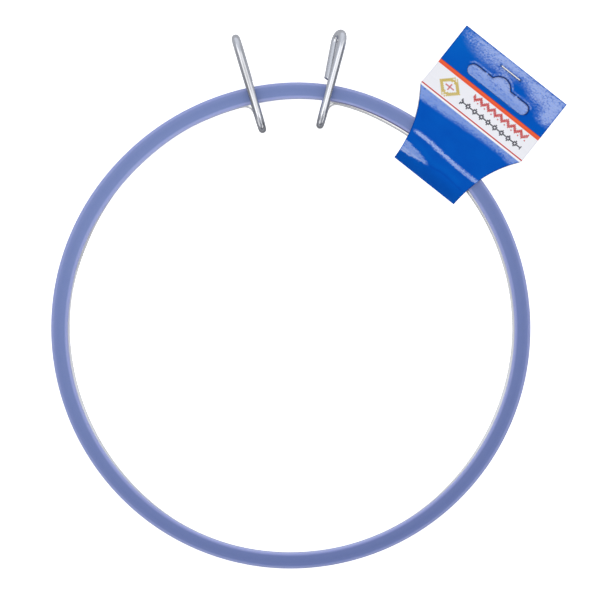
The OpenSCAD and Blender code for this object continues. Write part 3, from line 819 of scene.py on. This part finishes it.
def build_card():
    from mathutils.geometry import delaunay_2d_cdt
    g = TAG
    L = g["length"]
    rows = sorted(set([0.0] + [round(5.9 * (i / 14) ** 1.6, 4) for i in range(15)] + [round(v, 4) for v in np.linspace(5.9, L, 98)]))
    line = slot_line()
    nxt, prv = np.roll(line, -1, 0), np.roll(line, 1, 0)
    tan = nxt - prv
    tan /= np.linalg.norm(tan, axis=1)[:, None]
    out = np.stack([tan[:, 1], -tan[:, 0]], axis=1)
    bridge = (np.abs(line[:, 0] - MID_B + 7.5) < 0.5) | (np.abs(line[:, 0] - MID_B - 7.5) < 0.5)
    n = len(line)
    runs, start = [], next(i for i in range(n) if bridge[i - 1] and not bridge[i])
    cur = []
    for k in range(n + 1):
        i = (start + k) % n
        if k < n and not bridge[i]:
            cur.append(i)
        elif cur:
            runs.append(cur)
            cur = []

    def panel(front):
        pts, edges = [], []

        def add_loop(loop):
            base = len(pts)
            pts.extend([tuple(p) for p in loop])
            for i in range(len(loop)):
                edges.append((base + i, base + (i + 1) % len(loop)))
        bound = [(half_width(s), s) for s in rows] + [(half_width(L) * (1 - 2 * i / 64), L) for i in range(1, 64)] + \
                [(-half_width(s), s) for s in reversed(rows)] + [(-half_width(0) * (1 - 2 * i / 48), 0.0) for i in range(1, 48)]
        add_loop(bound)
        slits = []
        if front:
            for run in runs:
                a, b = line[run] + out[run] * KERF, line[run] - out[run] * KERF
                slit = np.concatenate([a, b[::-1]])
                slits.append(slit)
                add_loop([tuple(p) for p in slit])
            for off in (0.4, 0.8, -0.4, -0.8):
                q = line + out * off
                keep = line_distance(line, q) > abs(off) - 0.05
                pts.extend([tuple(p) for p in q[keep]])
            for sb in (-1, 1):
                for rr in (0.0, 0.35, 0.7, 1.1):
                    m = 1 if rr == 0 else 10
                    for i in range(m):
                        a = 2 * math.pi * (i + 0.5 * (rr == 0.7)) / m
                        pts.append((MID_B + sb * (STAPLE_LEG + 0.1) + rr * math.cos(a), STAPLE_S + rr * math.sin(a)))
        grid = []
        for s in rows[1:-1]:
            hw = half_width(s)
            m = max(24, int(2 * hw / 0.95))
            for k in range(1, m):
                grid.append((-hw + 2 * hw * k / m, s))
        grid = np.array(grid)
        if front:
            keep = line_distance(line, grid) > 1.1
            for sb in (-1, 1):
                keep &= np.hypot(grid[:, 0] - MID_B - sb * (STAPLE_LEG + 0.1), grid[:, 1] - STAPLE_S) > 1.35
            grid = grid[keep]
        pts.extend([tuple(p) for p in grid])
        v, _, f, _, _, _ = delaunay_2d_cdt([Vector(p) for p in pts], edges, [], 0, 1e-6)
        v = np.array([(p[0], p[1]) for p in v])
        f = np.array([tuple(t) for t in f])
        mid = v[f].mean(axis=1)
        keep = inside(np.array(bound), mid)
        for slit in slits:
            keep &= ~inside(slit, mid)
        f = f[keep]
        e1, e2 = v[f[:, 1]] - v[f[:, 0]], v[f[:, 2]] - v[f[:, 0]]
        area = e1[:, 0] * e2[:, 1] - e1[:, 1] * e2[:, 0]
        f = f[np.abs(area) > 1e-7]
        area = area[np.abs(area) > 1e-7]
        f[area < 0] = f[area < 0][:, ::-1]
        flap = np.zeros(len(v))
        rise = np.zeros(len(v))
        if front:
            d = line_distance(line, v)
            flap = inside(line, v).astype(float)
            # the flap has sunk a little, and the cut's outer edge stands up a little
            near = np.exp(-(d / 0.45) ** 2)
            rise = np.where(flap > 0.5, -0.07 - 0.03 * near, 0.05 * near)
            for at in (-7.5, 7.5):
                calm = 1 - np.exp(-((v[:, 0] - MID_B - at) / 0.9) ** 2)
                rise = np.where((d < 0.5) & (flap < 0.5), rise * calm, rise)
            for sb in (-1, 1):
                q = np.hypot(v[:, 0] - MID_B - sb * (STAPLE_LEG + 0.1), v[:, 1] - STAPLE_S)
                rise = rise - 0.12 * np.exp(-(q / 0.75) ** 2)
            # handling has left the header very slightly wavy
            b, s = v[:, 0], v[:, 1]
            rise = rise + 0.05 * soft(s, 30, 42) * (np.sin(b * 0.21 + 0.8) * np.cos(s * 0.30) - 0.4)
        # painted shadow in the cut: darkest along its upper side and right end
        slot_shade = np.zeros(len(v))
        if front:
            near = np.argmin(((v[:, None, :] - line[None, :, :]) ** 2).sum(axis=2), axis=1)
            up = np.clip(0.35 + 0.9 * out[:, 1], 0.12, 1.0)
            up = np.maximum(up, soft(line[:, 0], 10.5, 14.0) * soft(line[:, 1], 43.9, 46.0))
            up = up * np.where(bridge, 0.35, 1.0)
            slot_shade = up[near] * np.exp(-(d / 0.36) ** 2)
            lit = np.exp(-((d - 0.75) / 0.28) ** 2) * (flap < 0.5) * soft(out[near, 1], 0.3, 0.8)
            rise = rise + 0.02 * lit
        else:
            lit = np.zeros(len(v))
            # painted shadow: the back panel is painted dark under the slot's line, seen through the cut
            slot_shade = 0.9 * np.exp(-(line_distance(line, v) / 0.9) ** 2)
        return v, f, flap, rise, slot_shade, lit

    verts, faces = [], []
    A = {"tag_s": [], "tag_b": [], "tag_front": [], "tag_outer": [], "tag_gloss": [], "tag_slot_shade": []}
    for front in (True, False):
        v, f, flap, rise, slot_shade, lit = panel(front)
        gloss = np.clip(gloss_at(v[:, 0], v[:, 1], flap) + 0.45 * lit, 0, 1) if front else 0.35 * np.ones(len(v))
        z_at = front_z_at if front else back_z_at
        base = len(verts)
        m = len(v)
        for layer in (1, -1):
            for (b, s), up, gl, ke in zip(v, rise, gloss, slot_shade):
                # the sheet's normal, in the plane of s and z; at the crease both panels turn to face the hoop's centre
                if s < 1e-6:
                    nx, nz = -1.0, 0.0
                else:
                    h = 0.02
                    dz = (z_at(s + h) - z_at(max(0.0, s - h))) / (h + min(h, s))
                    ln = math.hypot(1, dz)
                    nx, nz = (-dz / ln, 1 / ln) if front else (dz / ln, -1 / ln)
                k = layer * g["t"] / 2
                # the sheet was folded a little askew, so its neck leans to the left
                skew = -0.28 * (1 - float(soft(s, 24, 38))) + b / 15 * 0.2 * math.exp(-((s - 8) / 7) ** 2)
                p = to_world(b + skew, s + nx * k, z_at(s) + nz * k + up)
                verts.append(p * MM)
                A["tag_s"].append(s)
                A["tag_b"].append(b)
                A["tag_front"].append(1.0 if front else 0.0)
                A["tag_outer"].append(1.0 if layer > 0 else 0.0)
                A["tag_gloss"].append(gl)
                A["tag_slot_shade"].append(ke)
        faces.extend([(base + a, base + b, base + c) for a, b, c in f])
        faces.extend([(base + m + a, base + m + c, base + m + b) for a, b, c in f])
        # walls along every free edge but the crease
        count = {}
        for a, b, c in f:
            for e in ((a, b), (b, c), (c, a)):
                count[e] = count.get(e, 0) + 1
        for (a, b) in list(count):
            if (b, a) in count:
                continue
            if v[a][1] < 1e-6 and v[b][1] < 1e-6:
                continue
            faces.append((base + a, base + m + a, base + m + b, base + b))
    o = mesh_object("folded_card_tag", verts, faces, CARD, A, 40)
    # the two panels are one sheet, joined along the crease
    bm = bmesh.new()
    bm.from_mesh(o.data)
    seam_and_gap_shade = [q for q, s in zip(bm.verts, A["tag_s"]) if s < 1e-6]
    bmesh.ops.remove_doubles(bm, verts=seam_and_gap_shade, dist=2e-6)
    bmesh.ops.recalc_face_normals(bm, faces=bm.faces)
    bm.to_mesh(o.data)
    bm.free()
    o.data.set_sharp_from_angle(angle=math.radians(40))
    return o


def build_staple():
    """Crown on the front, legs through the card, points clinched inwards on the back."""
    w, s0, r = STAPLE_LEG, STAPLE_S, 0.26
    top, bot = FRONT_SHUT + 0.2 + r, BACK_Z - 0.2 - r * 0.8
    key = [(-1.6, bot), (-w + 0.55, bot), (-w + 0.16, bot + 0.06), (-w, bot + 0.3), (-w, top - 0.4), (-w + 0.12, top - 0.1), (-w + 0.45, top),
           (w - 0.45, top), (w - 0.12, top - 0.1), (w, top - 0.4), (w, bot + 0.3), (w - 0.16, bot + 0.06), (w - 0.55, bot), (1.6, bot)]
    pts = np.array([to_world(MID_B + b, s0, z) for b, z in key])
    pts, _ = resample(pts, 0.14)
    for _ in range(2):
        pts[1:-1] = pts[1:-1] * 0.5 + (pts[:-2] + pts[2:]) * 0.25
    n = len(pts)
    tang = np.gradient(pts, axis=0)
    tang /= np.linalg.norm(tang, axis=1)[:, None]
    side = to_world(0, 1, 0) - to_world(0, 0, 0)
    verts, faces, along, rnd = [], [], [], []
    m = 12
    for i in range(n):
        t = tang[i]
        u = side - t * np.dot(side, t)
        u /= np.linalg.norm(u)
        v = np.cross(t, u)
        taper = min(1.0, 0.35 + 0.65 * min(i, n - 1 - i) / 4)
        for k in range(m):
            a = 2 * math.pi * k / m
            q = pts[i] + taper * (u * r * 1.05 * math.cos(a) + v * r * 0.8 * math.sin(a))
            verts.append(q * MM)
            along.append(i * 0.14)
            rnd.append((math.cos(a), math.sin(a)))
    for i in range(n - 1):
        for k in range(m):
            l = (k + 1) % m
            faces.append((i * m + k, i * m + l, (i + 1) * m + l, (i + 1) * m + k))
    faces.append(tuple(range(m - 1, -1, -1)))
    faces.append(tuple((n - 1) * m + k for k in range(m)))
    return mesh_object("staple_wire_piece", verts, faces, STAPLE, {"along": along, "round_c": [q[0] for q in rnd], "round_s": [q[1] for q in rnd],
                                                                "polish": [1.0] * len(verts), "worn": [0.0] * len(verts), "painted_dark": [0.0] * len(verts)}, 60)


ring = build_ring()
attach(ring, "hoop")
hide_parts("outer_ring")
build_wire()
tag = build_card()
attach(tag, "tag")
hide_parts("card_tag")
staple = build_staple()
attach(staple, "tag")
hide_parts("staple")

# ------------------------------------------------------------------ floor, light, camera
me = bpy.data.meshes.new("floor")
me.from_pydata([(-6, -6, 0), (6, -6, 0), (6, 6, 0), (-6, 6, 0)], [], [(0, 1, 2, 3)])
floor = bpy.data.objects.new("floor", me)
floor.location.z = -0.00055
bpy.context.scene.collection.objects.link(floor)
fm, fnt, fb = new_material("floor_paper")
fcol = mix_col(fnt, noise(fnt, 3.0, 2.0), (0.655, 0.655, 0.66), (0.675, 0.675, 0.68))
fnt.links.new(fcol, fb.inputs["Base Color"])
fb.inputs["Roughness"].default_value = 0.9
fb.inputs["Specular IOR Level"].default_value = 0.1
fb.inputs["Emission Color"].default_value = (1, 1, 1, 1)
# the paper is lit from below for the picture only, as on a light table, and doesn't glare into the wire
seen = fnt.nodes.new("ShaderNodeLightPath").outputs["Is Camera Ray"]
fnt.links.new(math_node(fnt, "MULTIPLY", seen, 0.86), fb.inputs["Emission Strength"])
me.materials.append(fm)

world = bpy.data.worlds.new("studio")
bpy.context.scene.world = world
world.use_nodes = True
wn = world.node_tree
bg = wn.nodes["Background"]
tc = wn.nodes.new("ShaderNodeTexCoord")
sep = wn.nodes.new("ShaderNodeSeparateXYZ")
wn.links.new(tc.outputs["Generated"], sep.inputs[0])
X, Y, Z = sep.outputs


def smooth(v, lo, hi):
    n = wn.nodes.new("ShaderNodeMapRange")
    n.interpolation_type = "SMOOTHSTEP"
    n.inputs["From Min"].default_value = lo
    n.inputs["From Max"].default_value = hi
    wn.links.new(v, n.inputs["Value"])
    return n.outputs[0]


# one big soft panel over the camera with a grey surround; the camera itself is a faint dark slit in it
flat = math_node(wn, "SQRT", math_node(wn, "ADD", math_node(wn, "ADD", math_node(wn, "MULTIPLY", X, X), math_node(wn, "MULTIPLY", Y, Y)), 1e-5))
turned = math_node(wn, "DIVIDE", Y, flat)
tilt_x = math_node(wn, "ARCTAN2", X, Z)
tilt_y = math_node(wn, "ARCSINE", Y)
right = math_node(wn, "SUBTRACT", tilt_x, math_node(wn, "MULTIPLY", turned, 1.05))
side = math_node(wn, "MULTIPLY", smooth(tilt_x, -0.85, -0.38), math_node(wn, "SUBTRACT", 1.0, smooth(right, 0.46, 0.84)))
panel = math_node(wn, "MULTIPLY", side, smooth(tilt_y, -1.15, -0.70))
upper = math_node(wn, "SUBTRACT", tilt_y, math_node(wn, "MULTIPLY", math_node(wn, "MAXIMUM", X, 0.0), 0.30))
panel = math_node(wn, "MULTIPLY", panel, math_node(wn, "SUBTRACT", 1.0, smooth(upper, 0.12, 0.25)))
near = math_node(wn, "ABSOLUTE", tilt_x)
slit = math_node(wn, "ADD", 0.80, math_node(wn, "MULTIPLY", smooth(near, 0.02, 0.10), 0.20))
foot = math_node(wn, "MULTIPLY", math_node(wn, "SUBTRACT", 1.0, smooth(near, 0.18, 0.42)), math_node(wn, "SUBTRACT", 1.0, smooth(tilt_y, -0.34, -0.10)))
slit = math_node(wn, "MULTIPLY", slit, math_node(wn, "SUBTRACT", 1.0, math_node(wn, "MULTIPLY", foot, 0.50)))
panel = math_node(wn, "MULTIPLY", panel, slit)
sky = ramp(wn, Z, [(0.0, (0.14, 0.145, 0.16)), (0.22, (0.20, 0.21, 0.235)), (0.55, (0.34, 0.355, 0.40)), (1.0, (0.45, 0.47, 0.52))], "LINEAR")
sky = mix_col(wn, math_node(wn, "MULTIPLY", smooth(X, -0.10, -0.55), 0.55), sky, (0.52, 0.53, 0.56))
sky = mix_col(wn, smooth(turned, -0.05, 0.22), sky, (0.70, 0.73, 0.80))
sky = mix_col(wn, smooth(turned, 0.45, 0.95), sky, (0.96, 1.00, 1.08))
# two pale walls, low at the near left and near right
south = math_node(wn, "MULTIPLY", turned, -1.0)
walls = math_node(wn, "MULTIPLY", smooth(south, 0.30, 0.50), math_node(wn, "SUBTRACT", 1.0, smooth(south, 0.90, 0.95)))
walls = math_node(wn, "MULTIPLY", walls, math_node(wn, "MULTIPLY", smooth(Z, 0.20, 0.33), math_node(wn, "SUBTRACT", 1.0, smooth(Z, 0.55, 0.68))))
sky = mix_col(wn, walls, sky, (1.25, 1.25, 1.25))
wr = mix_col(wn, panel, sky, (1.36, 1.36, 1.37))
wn.links.new(wr, bg.inputs["Color"])
bg.inputs["Strength"].default_value = 0.96


def area(name, loc, target, size, power):
    l = bpy.data.lights.new(name, "AREA")
    l.shape = "RECTANGLE"
    l.size, l.size_y = size
    l.energy = power
    l.use_shadow = False
    o = bpy.data.objects.new(name, l)
    o.location = loc
    o.rotation_euler = (Vector(target) - Vector(loc)).to_track_quat("-Z", "Y").to_euler()
    bpy.context.scene.collection.objects.link(o)
    return o


area("key", (-0.60, 0.25, 1.1), (0, 0, 0), (0.8, 0.8), 1.5)
area("fill", (0.70, -0.1, 1.0), (0, 0, 0), (0.7, 0.7), 1.0)

cam_data = bpy.data.cameras.new("camera")
cam = bpy.data.objects.new("camera", cam_data)
bpy.context.scene.collection.objects.link(cam)
cam.location = (0.00365, 0.01144, 1.00375)
cam.rotation_euler = (0, 0, 0)
cam_data.sensor_width = 36
cam_data.sensor_fit = "HORIZONTAL"
cam_data.lens = 18 / 0.11854
cam_data.clip_start = 0.05
bpy.context.scene.camera = cam
bpy.context.scene.view_settings.view_transform = "Standard"
